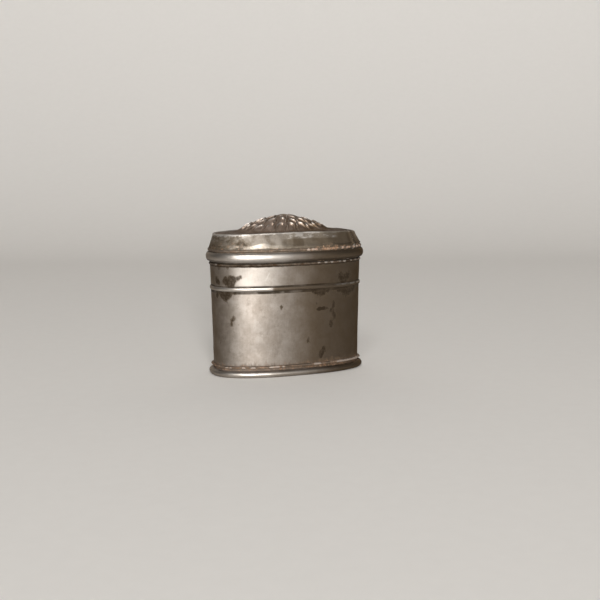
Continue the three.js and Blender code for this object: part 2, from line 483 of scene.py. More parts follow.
# %% Finish of the wall
def on_oval(marks, side=-1, out=0.0):
    """Places on the oval's front, or on its back where side is 1, from marks of x, height and radius."""
    found = []
    for x, height, radius in marks:
        depth = HALF_DEPTH * (1 - (abs(x) / HALF_LENGTH) ** SQUARENESS) ** (1 / SQUARENESS)
        found.append(((x, side * (depth + out), height), radius))
    return found


# each mark: its place along the box, its height and its radius, in mm
BLOTCH = [
    (-23.1, 33.4, 1.4), (-24.4, 33.4, 1.0), (-22.2, 33.6, 1.0), (-21.4, 33.9, 0.8), (-20.4, 34.4, 0.65),
    (-19.5, 34.8, 0.55), (-22.6, 32.3, 1.1), (-22.4, 31.9, 0.8), (-26.4, 33.6, 0.95), (-25.9, 32.8, 0.7),
]
SPOTS = [
    (-6.0, 24.2, 0.62), (-22.7, 18.3, 0.6), (-22.6, 19.5, 0.7), (-22.0, 20.8, 0.75),
    (13.4, 24.7, 0.85), (13.7, 23.3, 0.8), (12.6, 21.8, 1.0), (13.8, 20.7, 0.85), (14.1, 19.4, 0.8),
    (12.8, 18.0, 1.2), (12.5, 16.7, 0.9), (3.8, 12.0, 1.1), (8.3, 6.2, 1.1), (9.1, 7.4, 1.4),
    (10.1, 8.8, 1.05), (16.2, 33.8, 1.5), (17.3, 32.5, 1.3), (19.6, 33.6, 1.7),
]
LEVEL_SPOTS = [
    (7.4, 22.6, 0.9), (8.6, 22.8, 1.0), (9.9, 23.0, 0.95), (11.2, 22.7, 0.7), (7.0, 24.6, 0.7),
]
DRIPS = [
    (-26.4, 28.6, 0.9), (-25.4, 29.0, 1.1), (-24.2, 28.0, 1.3), (-23.2, 29.3, 1.1), (-21.4, 29.6, 0.7),
    (5.4, 29.4, 0.9), (6.8, 29.2, 1.1), (8.3, 28.4, 1.3), (9.9, 28.9, 1.1), (11.4, 29.4, 0.9),
    (13.4, 29.5, 0.9), (15.4, 29.2, 1.1), (17.2, 29.2, 1.3), (18.6, 27.9, 1.5), (20.6, 28.4, 1.5),
    (22.6, 29.2, 1.3),
]
WALL_STAINS = on_oval(BLOTCH + SPOTS + DRIPS)
WALL_SMUDGES = on_oval(
    [
        (16.2, 33.7, 1.9), (16.9, 32.4, 1.4), (19.6, 33.7, 1.8), (19.0, 32.2, 1.2), (12.2, 22.6, 2.2),
        (15.4, 23.6, 1.8), (12.5, 18.3, 2.0), (20.7, 14.0, 3.2), (22.0, 8.5, 3.8), (17.0, 12.0, 2.2),
        (-25.5, 13.0, 2.4), (9.4, 7.6, 1.6),
    ]
) + on_oval([(9.0, 20.0, 4.0), (-14.0, 31.0, 3.0), (18.0, 26.0, 3.0), (-20.0, 9.0, 3.5)], side=1)


def hanging(finish, top, longest, seed):
    """Drips that hang down from a height, as a mask."""
    flat = finish.node("ShaderNodeCombineXYZ", None, {"X": finish.x, "Y": finish.y, "Z": seed})
    length = finish.node("ShaderNodeTexNoise", None, {"Vector": flat, "Scale": 0.42, "Detail": 2.0})
    length = finish.step(length, 0.5, 0.85) * longest
    below = top - finish.height
    return finish.step(length - below, -0.15, 0.35) * finish.step(below, -0.1, 0.05)


def inside_mask(finish, inset):
    """1 on the inner faces of a wall, which lie within the oval drawn in by an inset in millimetres."""
    reach_x = finish.unsigned(finish.x) * (1 / (HALF_LENGTH - inset))
    reach_y = finish.unsigned(finish.y) * (1 / (HALF_DEPTH - inset))
    return finish.step(reach_x**SQUARENESS + reach_y**SQUARENESS, 1.01, 0.99)


wall_finish = Finish("wall_tarnished_and_shaded_silver")
wall_marks = wall_finish.round_marks(WALL_STAINS, 1.5)
wall_halo = wall_finish.ragged_mask(wall_marks, 33.0, 0.15, 0.6, 1.5)
wall_dirt_and_shade = wall_finish.ragged_mask(wall_marks, 33.0, 0.42, 0.9, 1.5)
uneven = wall_finish.step(wall_finish.grain(0.7, 3, 40.0, 0.6), 0.38, 0.55) * 0.3 + 0.7
wall_dirt_and_shade = wall_dirt_and_shade * uneven
wall_dirt_and_shade = wall_dirt_and_shade.most(wall_finish.stains(on_oval(LEVEL_SPOTS), 33.7))
lines = wall_finish.band(29.0, 29.8, 0.2).most(wall_finish.band(31.1, 31.5, 0.2))
fading_line = wall_finish.step(wall_finish.grain(4, 3, 38.0), 0.35, 0.6) * 0.35 + 0.6
wall_dirt_and_shade = wall_dirt_and_shade.most(lines * fading_line)
wall_dirt_and_shade = wall_dirt_and_shade.most(hanging(wall_finish, 29.7, 2.2, 3.0) * 0.7)
# A dark band just under the mouth is partly dirt and partly painted shade of the gap under the lid's rim.
near_mouth = wall_finish.height + wall_finish.grain(0.9, 3, 34.0) * 0.5
wall_dirt_and_shade = wall_dirt_and_shade.most(wall_finish.step(near_mouth, 38.15, 38.4))
near_foot = wall_finish.height + wall_finish.grain(1.1, 4, 31.0, 0.6, (1, 1, 2.5)) * 5.0
foot_grime = wall_finish.step(near_foot, 7.9, 5.9)
wall_dirt_and_shade = wall_dirt_and_shade.most(foot_grime * (wall_finish.step(wall_finish.x, 8, -6) * 0.25 + 0.4))
wall_dirt_and_shade = wall_dirt_and_shade.most(inside_mask(wall_finish, 0.9) * 0.7)
thin_parts = wall_finish.step(wall_finish.grain(1.0, 4, 36.0, 0.65, (1, 1, 3)), 0.35, 0.6)
smudges = wall_finish.stains(WALL_SMUDGES, 35.0) * thin_parts
# The film grows towards the right end and at the far left end: partly tarnish, partly painted shade of the
# sides that turn away from the light.
film_and_shade_right = wall_finish.step(wall_finish.x + wall_finish.grain(7, 4, 37.0) * 10, -4, 13)
film_and_shade_left = wall_finish.step(wall_finish.x + wall_finish.grain(4, 3, 39.0) * 4, -20, -25) * 0.55
film_and_shade_right = film_and_shade_right * (wall_finish.front() * 0.72 + 0.25)
wall_film_and_shade = (smudges * 0.9).most(wall_halo * 0.9).most(film_and_shade_right).most(film_and_shade_left)
mouth_drips = hanging(wall_finish, 38.3, 3.6, 9.0) * wall_finish.step(wall_finish.x, 0, -9)
wall_film_and_shade = wall_film_and_shade.most(mouth_drips * 0.8)
scratch = wall_finish.line((wall_finish.x + 10.7) + (wall_finish.height - 34.75) * -0.48, 0.1, 0.45)
scratch = scratch * wall_finish.band(33.5, 36.0, 0.6) * wall_finish.step(wall_finish.y, -8, -10) * 0.5
wall_crust = foot_grime * (wall_finish.step(wall_finish.grain(0.9, 2, 32.0), 0.45, 0.62) * 0.4 + 0.15)
# The brighter bands on the left front are partly rubbed wear and partly a painted highlight along the
# lamp's upright highlight.
rubbed_and_highlit_band = wall_finish.band(31.6, 37.6, 0.5) * wall_finish.band(-20, -9, 5, wall_finish.x)
rubbed_and_highlit_low = wall_finish.band(4, 21, 3) * wall_finish.band(-20, -13, 4, wall_finish.x)
rubbed_and_highlit_parts = rubbed_and_highlit_band.most(rubbed_and_highlit_low * 0.15) * wall_finish.step(wall_finish.y, 0, -5)
wall_wear_and_highlight = scratch.most(rubbed_and_highlit_parts * 0.3)
wall_material = silver(
    wall_finish, wall_dirt_and_shade, wall_crust, wall_film_and_shade, shine=0.42, mottle=0.55, wear_and_highlight=wall_wear_and_highlight
)
finish_piece(wall, "container", "body_wall", wall_material)

# %% [markdown]
# The base is a flat oval plate set inside the foot. It is only softened at its edge, and its finish is
# dark, because nobody polishes it.

# %% Base plate
base = welded_copy("base_plate", "base_sheet")
soften_edges(base, 0.15)
smooth(base)

base_finish = Finish("base_dull_silver")
base_dirt = base_finish.step(base_finish.grain(5, 4, 41.0, 0.65), 0.42, 0.62) * 0.6 + 0.25
base_crust = base_finish.step(base_finish.grain(3, 3, 42.0), 0.62, 0.75) * 0.3
base_material = silver(base_finish, base_dirt, base_crust, shine=0.45, mottle=0.8, seed=40.0)
finish_piece(base, "container", "base_plate", base_material)

# %% [markdown]
# The collar is a thin oval band inside the mouth, which holds the lid in place. Taking the lid on and off
# rubs it bright, with upright marks, so its finish keeps little dirt.

# %% Collar
collar = welded_copy("inner_collar", "collar_band")
soften_edges(collar, 0.12)
cut_level(collar, [35.5, 37.5, 40.2, 41.6])
round_off(collar, 2)
push_out(collar, body_dents)
smooth(collar)

collar_finish = Finish("collar_rubbed_silver")
below_lid = collar_finish.height + collar_finish.grain(1.5, 3, 51.0) * 0.8
# Below the lid's edge the collar is dark: partly dirt, partly painted shade of the narrow gap between lid
# and wall.
collar_dirt_and_shade = collar_finish.step(below_lid, 40.9, 40.3) * 0.9
collar_dirt_and_shade = collar_dirt_and_shade.most(inside_mask(collar_finish, 1.6) * 0.45)
rubbed = collar_finish.step(collar_finish.grain(0.6, 3, 52.0, 0.6, (1, 1, 9)), 0.25, 0.75) * 0.7
rubbed = rubbed * collar_finish.step(collar_finish.height, 40.0, 40.6)
collar_material = silver(collar_finish, collar_dirt_and_shade, shine=0.32, mottle=0.3, wear_and_highlight=rubbed, seed=50.0)
finish_piece(collar, "container", "inner_collar", collar_material)

# %% [markdown]
# Half-round wires are soldered round the foot, under the lid and along the mouth. They are drawn through
# a plate, so the section is even, but the thin ones have been bent by hand and carry lumps of solder. A
# wire is rounded, then its points are moved out, and up or down, by noise.

# %% Half-round wires
def bent_wire(node_name, piece_name, lumpy, wavy, seed):
    """A drawn wire with lumps and a slight wave, both in millimetres."""
    wire = welded_copy(node_name, piece_name)
    soften_edges(wire, 0.06, 60)
    round_off(wire, 2)
    points = points_of(wire)
    middle = (points[:, 2].min() + points[:, 2].max()) / 2
    flat = points * (1, 1, 0)
    points[:, 2] += wavy * lumps(flat, 7, seed)
    swell = 1 + 1.2 * lumpy * lumps(flat, 1.3, seed + 1)
    points[:, 2] = middle + (points[:, 2] - middle) * np.clip(swell, 0.8, 1.2)
    set_points(wire, points)
    push_out(wire, lambda places: lumpy * (lumps(places * (1, 1, 0), 1.5, seed + 2) - 0.2))
    return wire


foot_rim = bent_wire("foot_roll", "foot_rim", 0.03, 0.0, 11)
push_out(foot_rim, body_dents)
points = points_of(foot_rim)
points[:, 2] = np.maximum(points[:, 2], 0)
set_points(foot_rim, points)
smooth(foot_rim)
foot_thread = bent_wire("foot_wire", "foot_thread", 0.1, 0.06, 14)
push_out(foot_thread, body_dents)
smooth(foot_thread)
bead = bent_wire("body_bead", "bead_band", 0.03, 0.04, 17)
push_out(bead, body_dents)
smooth(bead)
mouth_thread = bent_wire("mouth_wire", "mouth_thread", 0.05, 0.03, 20)
smooth(mouth_thread)
lid_thread = bent_wire("lid_wire", "lid_thread", 0.1, 0.06, 23)
smooth(lid_thread)
lid_rim = bent_wire("lid_roll", "lid_rim", 0.02, 0.0, 26)
smooth(lid_rim)

# %% [markdown]
# The two thick wires are rubbed by the hand and the table, so they are the brightest parts, and dirt
# stays only along their edges. Their left front is brighter still with a painted highlight, and their right
# end darker with a film that is partly painted shade. The thin wires sit in the corners where polish and
# dust collect: they are brown, with a few bare points and an orange crust in places. The mouth wire is
# darkest, partly with painted shade of the gap under the lid.

# %% Finishes of the wires
foot_finish = Finish("foot_rubbed_and_highlit_silver")
foot_edges = foot_finish.step(foot_finish.height + foot_finish.grain(1.1, 3, 61.0) * 0.7, 2.55, 2.95)
foot_under = foot_finish.step(foot_finish.height, 0.45, 0.1)
# Towards the right the film is partly tarnish, partly painted shade; the brighter band on the left front is
# partly wear, partly a painted highlight.
foot_film_and_shade_right = foot_finish.step(foot_finish.x + foot_finish.grain(6, 3, 63.0) * 10, 4, 20)
foot_wear_and_highlight = foot_finish.band(-22, -12, 6, foot_finish.x) * 0.45
foot_dirt = foot_edges.most(foot_under) * 0.5
foot_film_and_shade = foot_film_and_shade_right * (foot_finish.front() * 0.7 + 0.3)
foot_material = silver(
    foot_finish, foot_dirt, foot_edges * 0.35, foot_film_and_shade, shine=0.42, mottle=0.25, wear_and_highlight=foot_wear_and_highlight, seed=60.0
)
finish_piece(foot_rim, "container", "foot_roll", foot_material)

rim_finish = Finish("lid_rim_rubbed_and_highlit_silver")
rim_edges = rim_finish.step(rim_finish.height + rim_finish.grain(1.1, 3, 71.0) * 0.4, 42.75, 43.0)
# The rim's lower edge is darker: partly dirt, partly painted shade over the gap below it.
rim_under_dirt_and_shade = rim_finish.step(rim_finish.height + rim_finish.grain(1.0, 3, 72.0) * 0.5, 41.0, 40.4)
# Towards the right the film is partly tarnish, partly painted shade; the brighter left front is partly
# wear, partly a painted highlight.
rim_film_and_shade_right = rim_finish.step(rim_finish.x + rim_finish.grain(6, 3, 73.0) * 10, -4, 16)
rim_wear_and_highlight = rim_finish.band(-20, -7, 7, rim_finish.x) * 0.6
rim_dirt_and_shade = rim_edges.most(rim_under_dirt_and_shade) * 0.8
rim_film_and_shade = rim_film_and_shade_right * (rim_finish.front() * 0.7 + 0.3)
rim_material = silver(
    rim_finish, rim_dirt_and_shade, film_and_shade=rim_film_and_shade, shine=0.41, mottle=0.15, wear_and_highlight=rim_wear_and_highlight, seed=70.0
)
finish_piece(lid_rim, "lid", "lid_roll", rim_material)

bead_finish = Finish("bead_rubbed_and_highlit_silver")
bead_edges = 1 - bead_finish.band(30.05, 30.85, 0.25)
bead_right_film_and_shade = bead_finish.step(bead_finish.x, -9.4, -8.7) * bead_finish.front()
# A softer film that grows to the right is partly tarnish, partly painted shade.
bead_soft_film_and_shade = bead_finish.step(bead_finish.x + bead_finish.grain(4, 3, 82.0) * 8, -4, 12)
bead_right_film_and_shade = bead_right_film_and_shade.most(bead_soft_film_and_shade * 0.5)
# The brighter left part is partly wear and partly a painted highlight; the thin bright line along the top
# at the right end is a painted highlight.
bead_wear_and_highlight = bead_finish.band(-25, -10, 2, bead_finish.x) * 0.45
bead_top_highlight = bead_finish.band(30.6, 30.95, 0.15) * bead_finish.step(bead_finish.x, 13, 17)
bead_wear_and_highlight = bead_wear_and_highlight.most(bead_top_highlight * bead_finish.step(bead_finish.grain(2.5, 3, 84.0), 0.35, 0.5) * 0.7)
bead_film_and_shade = bead_right_film_and_shade * 0.95
bead_material = silver(
    bead_finish, bead_edges * 0.45, film_and_shade=bead_film_and_shade, shine=0.38, mottle=0.3, wear_and_highlight=bead_wear_and_highlight, seed=80.0
)
finish_piece(bead, "container", "body_bead", bead_material)


def grimy_wire(name, seed, grime_and_shade, crusted, bared, crusts=(), dashes=(), pale=0.0, out=0.0):
    """The finish of a thin wire: brown, with an orange crust at some marks and bare metal at others.

    The marks lie on the oval, or stand out from it by `out` millimetres, where the wire does.
    """
    finish = Finish(name)
    crust = (finish.step(finish.grain(2.2, 3, seed, 0.6), 0.42, 0.62) * 0.8 + 0.2) * crusted
    if crusts:
        crust = crust.most(finish.stains(on_oval(crusts, out=out), seed + 0.3) * 0.8)
    bare_from = 0.7 - 0.12 * bared
    bare_grain = finish.grain(1.6, 3, seed + 1, 0.6, (1.5, 1.5, 0.8))
    bare = finish.step(bare_grain, bare_from, bare_from + 0.1)
    if dashes:
        dashed = finish.stains(on_oval(dashes, out=out), seed + 0.7)
        bare = bare.most(dashed * 0.85)
    dark = (finish.step(finish.grain(2.0, 3, seed + 3, 0.6), 0.62, 0.38) * 0.5 + 0.5) * (1 - bare)
    crust = crust * (1 - bare * 0.5)
    if dashes:
        crust = crust.most(dashed * pale)
    return silver(finish, dark * grime_and_shade, crust, 0.7, shine=0.4, mottle=0.4, wear_and_highlight=bare * 0.9, seed=seed)


LID_CRUSTS = [(9.2, 43.6, 1.0), (10.6, 43.5, 1.3), (12.2, 43.8, 1.8), (13.9, 43.6, 1.2), (19.5, 43.6, 0.9)]
LID_DASHES = [
    (3.6, 43.5, 0.7), (5.2, 43.5, 0.8), (6.6, 43.5, 0.7), (16.8, 43.6, 0.8), (18.8, 43.6, 0.7),
    (21.8, 43.6, 0.8), (23.4, 43.6, 0.8), (24.8, 43.5, 0.7),
]
lid_thread_material = grimy_wire(
    "lid_thread_grimy_silver", 90.0, 0.5, 0.3, 0.3, crusts=LID_CRUSTS, dashes=LID_DASHES, pale=0.9, out=0.7
)
finish_piece(lid_thread, "lid", "lid_wire", lid_thread_material)
FOOT_DASHES = [
    (-24.3, 3.3, 0.7), (-23.2, 3.4, 0.8), (-19.2, 3.6, 0.8), (-16.6, 3.5, 0.6), (-15.6, 3.5, 0.6),
    (-9.9, 3.5, 0.8), (-8.7, 3.5, 0.9), (-7.5, 3.5, 0.8), (-5.6, 3.5, 0.7), (6.3, 3.6, 1.1),
    (7.5, 3.6, 1.2), (15.0, 3.5, 0.7), (16.4, 3.6, 0.9), (17.9, 3.6, 0.9), (19.4, 3.6, 0.9),
    (20.9, 3.6, 0.9), (22.3, 3.6, 0.9), (23.7, 3.6, 0.9), (25.0, 3.6, 0.8),
]
foot_thread_material = grimy_wire(
    "foot_thread_grimy_silver", 100.0, 0.45, 0.55, -0.3, dashes=FOOT_DASHES, pale=0.45
)
finish_piece(foot_thread, "container", "foot_wire", foot_thread_material)
MOUTH_DASHES = [
    (-26.3, 39.2, 0.8), (7.6, 39.2, 0.7), (10.2, 39.2, 0.8), (12.4, 39.2, 0.9), (15.6, 39.2, 0.8),
    (17.6, 39.2, 0.9), (20.6, 39.2, 0.9), (22.8, 39.2, 0.9), (25.0, 39.2, 0.9),
]
# The mouth wire is the darkest: partly dirt, partly painted shade of the gap under the lid's rim.
mouth_thread_material = grimy_wire(
    "mouth_thread_grimy_shaded_silver", 110.0, 1.0, 0.15, -0.6, dashes=MOUTH_DASHES, pale=0.25
)
finish_piece(mouth_thread, "container", "mouth_wire", mouth_thread_material)

# %% [markdown]
# The lid's wall is a skirt that stands over the collar and a shoulder that leans in to the top. The
# shoulder is thin and badly dented, and at its right end the sheet is lapped: two slanting ridges with a
# valley between them. The whole upper lid has been knocked a little to the left and droops at its right
# end. The skirt is left true, so that the lid still slides over the collar.

# %% Knocks in the upper lid
SHOULDER_LOW = 44.15
SHOULDER_HIGH = 49.4
ARCH = 0.6
LID_LEAN = 0.5
# each line of the seam: its y at the shoulder's foot, and how far it runs back by the lip, in mm
SEAM_FRONT = (-9.0, 1.7)
SEAM_VALLEY = (-7.4, 1.2)
SEAM_BACK = (-5.8, 0.7)


def climb_of(points):
    """How far up the shoulder each point is, from 0 at its foot to 1 at its lip."""
    return np.clip((points[:, 2] - SHOULDER_LOW) / (SHOULDER_HIGH - SHOULDER_LOW), 0, 1)


def on_outline(points):
    """The points moved straight out from the middle to the oval of the wall's mouth."""
    along, across = np.abs(points[:, 0] / HALF_LENGTH), np.abs(points[:, 1] / HALF_DEPTH)
    reach = np.maximum((along**SQUARENESS + across**SQUARENESS) ** (1 / SQUARENESS), 0.01)
    return points / np.stack([reach, reach, np.ones(len(reach))], axis=1)


def shoulder_dents(points):
    """Dents of the shoulder, with the lapped seam at its right end."""
    climb = climb_of(points)
    spots = on_outline(points)
    dents = 0.36 * lumps(spots, 8, 31) + 0.14 * lumps(spots, 3.5, 32) - 0.05
    crumpled = 0.16 * lumps(spots, 2.0, 33) * fade(climb, 0.6, 1.0)
    front_ridge, valley, back_ridge = (
        points[:, 1] - start - back * climb for start, back in (SEAM_FRONT, SEAM_VALLEY, SEAM_BACK)
    )
    ridges = 0.6 * np.exp(-((front_ridge / 0.36) ** 2)) + 0.6 * np.exp(-((back_ridge / 0.4) ** 2))
    seam = (ridges - 0.55 * np.exp(-((valley / 0.7) ** 2))) * (points[:, 0] > 0)
    return (dents + crumpled) * fade(climb, 0.0, 0.3) + seam * fade(climb, 0.0, 0.12)


def knock(points):
    """Moves the upper lid a little to the left, and makes it droop at its right end."""
    climb = climb_of(points)
    along = points[:, 0] / HALF_LENGTH
    droop = (0.24 * along + 0.12) * np.abs(along) ** 3
    spots = on_outline(points)
    near_lip = fade(np.hypot(points[:, 0], points[:, 1]) / np.hypot(spots[:, 0], spots[:, 1]), 0.6, 0.85)
    ripples = 0.13 * near_lip * lumps(spots * (1, 1, 0), 3.2, 34)
    points[:, 2] += climb * (ripples - droop)
    points[:, 0] -= LID_LEAN * climb
    return points


# %% [markdown]
# The shoulder needs close points where the seam is, so the faces there are selected by their place and
# cut finer, after the whole sheet has been rounded.

# %% Wall of the lid
def select_faces(piece, wanted):
    """Selects the faces whose middle, in millimetres, is wanted, and goes into edit mode."""
    pick(piece)
    bpy.ops.object.mode_set(mode="EDIT")
    bpy.ops.mesh.select_all(action="DESELECT")
    bpy.ops.object.mode_set(mode="OBJECT")
    for face in piece.data.polygons:
        face.select = bool(wanted(face.center / MM))
    bpy.ops.object.mode_set(mode="EDIT")


def near_seam(place):
    """Whether a place in millimetres is on the shoulder beside the lapped seam."""
    return place.x > 18 and -12.5 < place.y < -3 and place.z > SHOULDER_LOW - 0.3


lid_wall = welded_copy("lid_wall", "lid_sheet")
soften_edges(lid_wall, 0.17, 60)
cut_level(lid_wall, [41, 42.6, 44.4, 45.3, 46.2, 47.1, 48.0, 48.5])
round_off(lid_wall, 2)
select_faces(lid_wall, near_seam)
bpy.ops.mesh.subdivide(number_cuts=2, smoothness=0)
bpy.ops.object.mode_set(mode="OBJECT")
push_out(lid_wall, shoulder_dents)
set_points(lid_wall, knock(points_of(lid_wall)))
smooth(lid_wall)

# %% [markdown]
# The shoulder's finish is the most uneven of all: brown and orange mottling at the left end, nearly bare
# metal in front, made brighter still with a painted highlight, and a brown film that covers the right end
# behind a slanting border, which is partly tarnish and partly painted shade. The lip is worn bright, and
# the two ridges of the seam are partly worn and partly painted with a highlight. The lid's lowest edge is
# darkened, partly with dirt and partly with painted shade of the gap under it.

# %% Finish of the lid's wall
def seam_line(line, width, soft):
    """1 along one line of the lapped seam."""
    start, back = line
    climb = (lid_finish.height - SHOULDER_LOW) * (1 / (SHOULDER_HIGH - SHOULDER_LOW))
    return lid_finish.line(lid_finish.y - start - climb * back, width, soft)


lid_finish = Finish("lid_mottled_silver")
level = lid_finish.height + lid_finish.x * lid_finish.x * (ARCH / HALF_LENGTH**2)
lip = lid_finish.step(level + lid_finish.grain(1.3, 3, 121.0) * 0.9, 49.2, 49.6)
slanting = lid_finish.x + (lid_finish.height - 46.7) * 0.8 + (lid_finish.grain(5, 4, 124.0, 0.6) - 0.5) * 14
# The film over the right end is partly tarnish and partly painted shade.
lid_right_film_and_shade = lid_finish.step(slanting, 1, 8)
left_film = lid_finish.step(lid_finish.x + (lid_finish.grain(3.5, 4, 123.0, 0.6) - 0.5) * 12, -14, -18)
blots = lid_finish.step(lid_finish.grain(3.4, 3, 125.0, 0.5), 0.5, 0.75)
lid_film_and_shade = (lid_right_film_and_shade * 0.8).most(left_film * 0.7).most(blots * 0.6).most(0.36)
under_lip = lid_finish.band(48.1, 48.7, 0.35, level - lid_finish.grain(1.6, 3, 127.0) * 0.8 + 0.4)
spotted = lid_finish.step(lid_finish.grain(2.0, 3, 128.0, 0.6), 0.45, 0.68)
foot_line = lid_finish.step(lid_finish.height + lid_finish.grain(1.2, 3, 122.0) * 0.8, 44.95, 44.65)
valley_line = seam_line(SEAM_VALLEY, 0.5, 0.5)
at_right_end = lid_finish.step(lid_finish.x, 17, 20)
lid_dirt_and_shade = (foot_line * 0.6).most(left_film * spotted * 0.8).most(under_lip * spotted * 0.45)
lid_dirt_and_shade = lid_dirt_and_shade.most(valley_line * at_right_end * 0.7).most(inside_mask(lid_finish, 0.2) * 0.5)
# The lid's lowest edge is darkened: partly dirt, partly painted shade of the gap under it.
lid_dirt_and_shade = lid_dirt_and_shade.most(lid_finish.step(lid_finish.height, 40.2, 39.8) * 0.9)
lid_crumbs = lid_finish.step(lid_finish.grain(1.1, 2, 126.0), 0.52, 0.64)
low_left = left_film * lid_finish.step(lid_finish.height, 47.0, 45.2)
lid_crust_mask = lid_crumbs * (foot_line * 0.5).most(low_left * 0.35)
CRUST_SPREAD = [(9.6, 44.2, 0.7), (11.2, 44.4, 0.8), (12.6, 44.6, 1.0), (14.4, 44.3, 0.7)]
spread = lid_finish.stains(on_oval(CRUST_SPREAD), 139.0)
spread = spread * lid_finish.step(lid_finish.grain(0.6, 3, 140.0), 0.42, 0.62)
lid_crust_mask = lid_crust_mask.most(spread * 0.85)
# The two ridges of the seam are made bright: partly wear, partly a painted highlight.
front_line = seam_line(SEAM_FRONT, 0.14, 0.22)
back_line = seam_line(SEAM_BACK, 0.15, 0.22)
seam_wear_and_highlight = front_line.most(back_line) * at_right_end * lid_finish.step(lid_finish.y, -1, -2)
seam_wear_and_highlight = seam_wear_and_highlight * lid_finish.step(lid_finish.grain(1.4, 3, 133.0), 0.38, 0.55)
lid_film_and_shade = lid_film_and_shade.most(lid_finish.band(-10.6, -4.0, 0.8, lid_finish.y) * at_right_end * 0.95)
# The bright patch on the left front is partly rubbed wear and partly a painted highlight.
rubbed_and_highlit_front = lid_finish.band(-21, -7, 6, lid_finish.x + (lid_finish.grain(4, 4, 129.0, 0.6) - 0.5) * 14)
rubbed_and_highlit_front = rubbed_and_highlit_front * lid_finish.step(lid_finish.grain(2.4, 3, 130.5, 0.6), 0.3, 0.6)
streaks = lid_finish.grain(1.6, 4, 131.5, 0.65, (1.8, 1.8, 0.6))
near_streaks = lid_finish.band(47.6, 49.3, 0.6, level) * lid_finish.band(-4, 13, 3, lid_finish.x)
lid_dirt_and_shade = lid_dirt_and_shade.most(near_streaks * lid_finish.step(streaks, 0.46, 0.36) * 0.5)
bright_streaks = near_streaks * (lid_finish.step(streaks, 0.48, 0.62) * 0.6 + 0.25)
dark_patch = lid_finish.line(lid_finish.x - 0.6 + (lid_finish.grain(2.5, 3, 134.0) - 0.5) * 4, 1.4, 1.6)
lid_film_and_shade = lid_film_and_shade.most(dark_patch * lid_finish.band(45, 48.2, 0.8, level) * 0.8)
left_end = lid_finish.step(lid_finish.x + (lid_finish.grain(3.5, 3, 135.0) - 0.5) * 8, -13.5, -17)
mottled = lid_finish.grain(1.8, 4, 136.0, 0.6, (1.8, 1.8, 0.9))
lid_dirt_and_shade = lid_dirt_and_shade.most(left_end * lid_finish.step(mottled, 0.5, 0.6) * 0.8)
left_bright = left_end * lid_finish.step(mottled, 0.5, 0.4) * lid_finish.step(level, 45.5, 49.0) * 0.6
left_strip = lid_finish.step(level + lid_finish.grain(1.2, 3, 137.0), 48.9, 49.3) * left_end
left_strip = left_strip * lid_finish.step(lid_finish.grain(0.8, 3, 138.0), 0.4, 0.55)
left_bright = left_bright.most(left_strip * 0.8)
lid_wear_and_highlight = lip * lid_finish.step(lid_finish.x, 14, 6).most(0.5)
lid_wear_and_highlight = lid_wear_and_highlight.most(seam_wear_and_highlight).most(rubbed_and_highlit_front * 0.42).most(bright_streaks).most(left_bright)
lid_material = silver(
    lid_finish, lid_dirt_and_shade, lid_crust_mask, lid_film_and_shade, shine=0.45, mottle=0.6, wear_and_highlight=lid_wear_and_highlight, seed=120.0,
    metal=GOLDEN,
)
finish_piece(lid_wall, "lid", "lid_wall", lid_material)

# %% [markdown]
# The top is the showpiece: a narrow border let in behind the lip, and a long dome beaten up from below
# and chased into three rows of petals, each with a raised rim, whose tips point up to a small boss. On
# the real box a pattern like this is punched from behind and sharpened from the front. Here the copy is
# cut finer, then the height of each point comes from the petal that it is on. A row's tips stand in front
# of the row above, so the highest row wins.

# %% Petals
DOME_LENGTH = 17.6
DOME_DEPTH = 8.0
DOME_FOOT = 49.5
DOME_RISE = 5.1
TOP_SHEET = 0.6
BOSS_REACH = 0.14
DOME_EDGE = 1.0001
DOME_LEAN = 0.3
BORDER_LOW = 49.0
CHASED_LINE = (1.02, 0.025, 0.2)
# each row: petals in it, how far out its foot and its tips are, turn in petals, and height in mm
PETAL_ROWS = [(8, 0.50, 0.11, 0.55, 0.46), (16, 0.76, 0.36, 0.55, 0.80), (24, 1.0, 0.62, 0.83, 0.88)]


def dome_place(points):
    """How far out each point is, from 0 at the centre to 1 at the dome's foot, and its part of a turn."""
    along, across = points[:, 0] / DOME_LENGTH, points[:, 1] / DOME_DEPTH
    reach = (np.abs(along) ** SQUARENESS + np.abs(across) ** SQUARENESS) ** (1 / SQUARENESS)
    return reach, np.arctan2(across, along) / (2 * math.pi) % 1


def petal_height(reach, turn, wobble):
    """The height of the petals above the plain dome in millimetres, and 1 on their rims."""
    height = 0.35 * np.sqrt(1 - np.clip(reach / BOSS_REACH, 0, 1) ** 2)
    rims = fade(reach, BOSS_REACH, 0.0)
    draws = np.random.default_rng(5)
    for petals, foot, tip, offset, lift in PETAL_ROWS:
        longer, higher = draws.uniform(-1, 1, (2, petals))
        place = petals * turn + offset + 0.5 + 0.13 * wobble
        number = np.floor(place).astype(int) % petals
        across = 2.04 * np.abs(place % 1 - 0.5)
        along = (foot - reach) / (foot - tip) / (1 + 0.13 * longer[number])
        to_edge = np.hypot(across, np.clip((along - 0.56) / 0.44, 0, None))
        sides = 0.35 + 0.65 * fade(along, 0.25, 0.7)
        rim = sides * np.exp(-(((to_edge - 0.7) / 0.18) ** 2))
        heart = 0.12 + 0.14 * np.clip(along, 0, 1)
        rise = 0.35 + 0.65 * fade(along, 0.0, 0.6)
        edge = fade(to_edge, 1.0, 0.86)
        row = lift * (1 + 0.22 * higher[number]) * rise * np.maximum(rim, heart) * edge - 0.12 * (1 - edge)
        on_petal = (along > 0) & (to_edge < 1)
        height = np.where(on_petal, row, height)
        rims = np.where(on_petal, rim * rise, rims)
    return height, rims


# %% [markdown]
# The copy's rings are far apart on the border, so that band is cut first. The underside of the beaten
# sheet shows the same petals as hollows, only softer. A thin line is chased round the foot of the dome.
# The dome is shaped on a level lid, then arched, knocked and dented with the lip, so that the border
# still fits it.

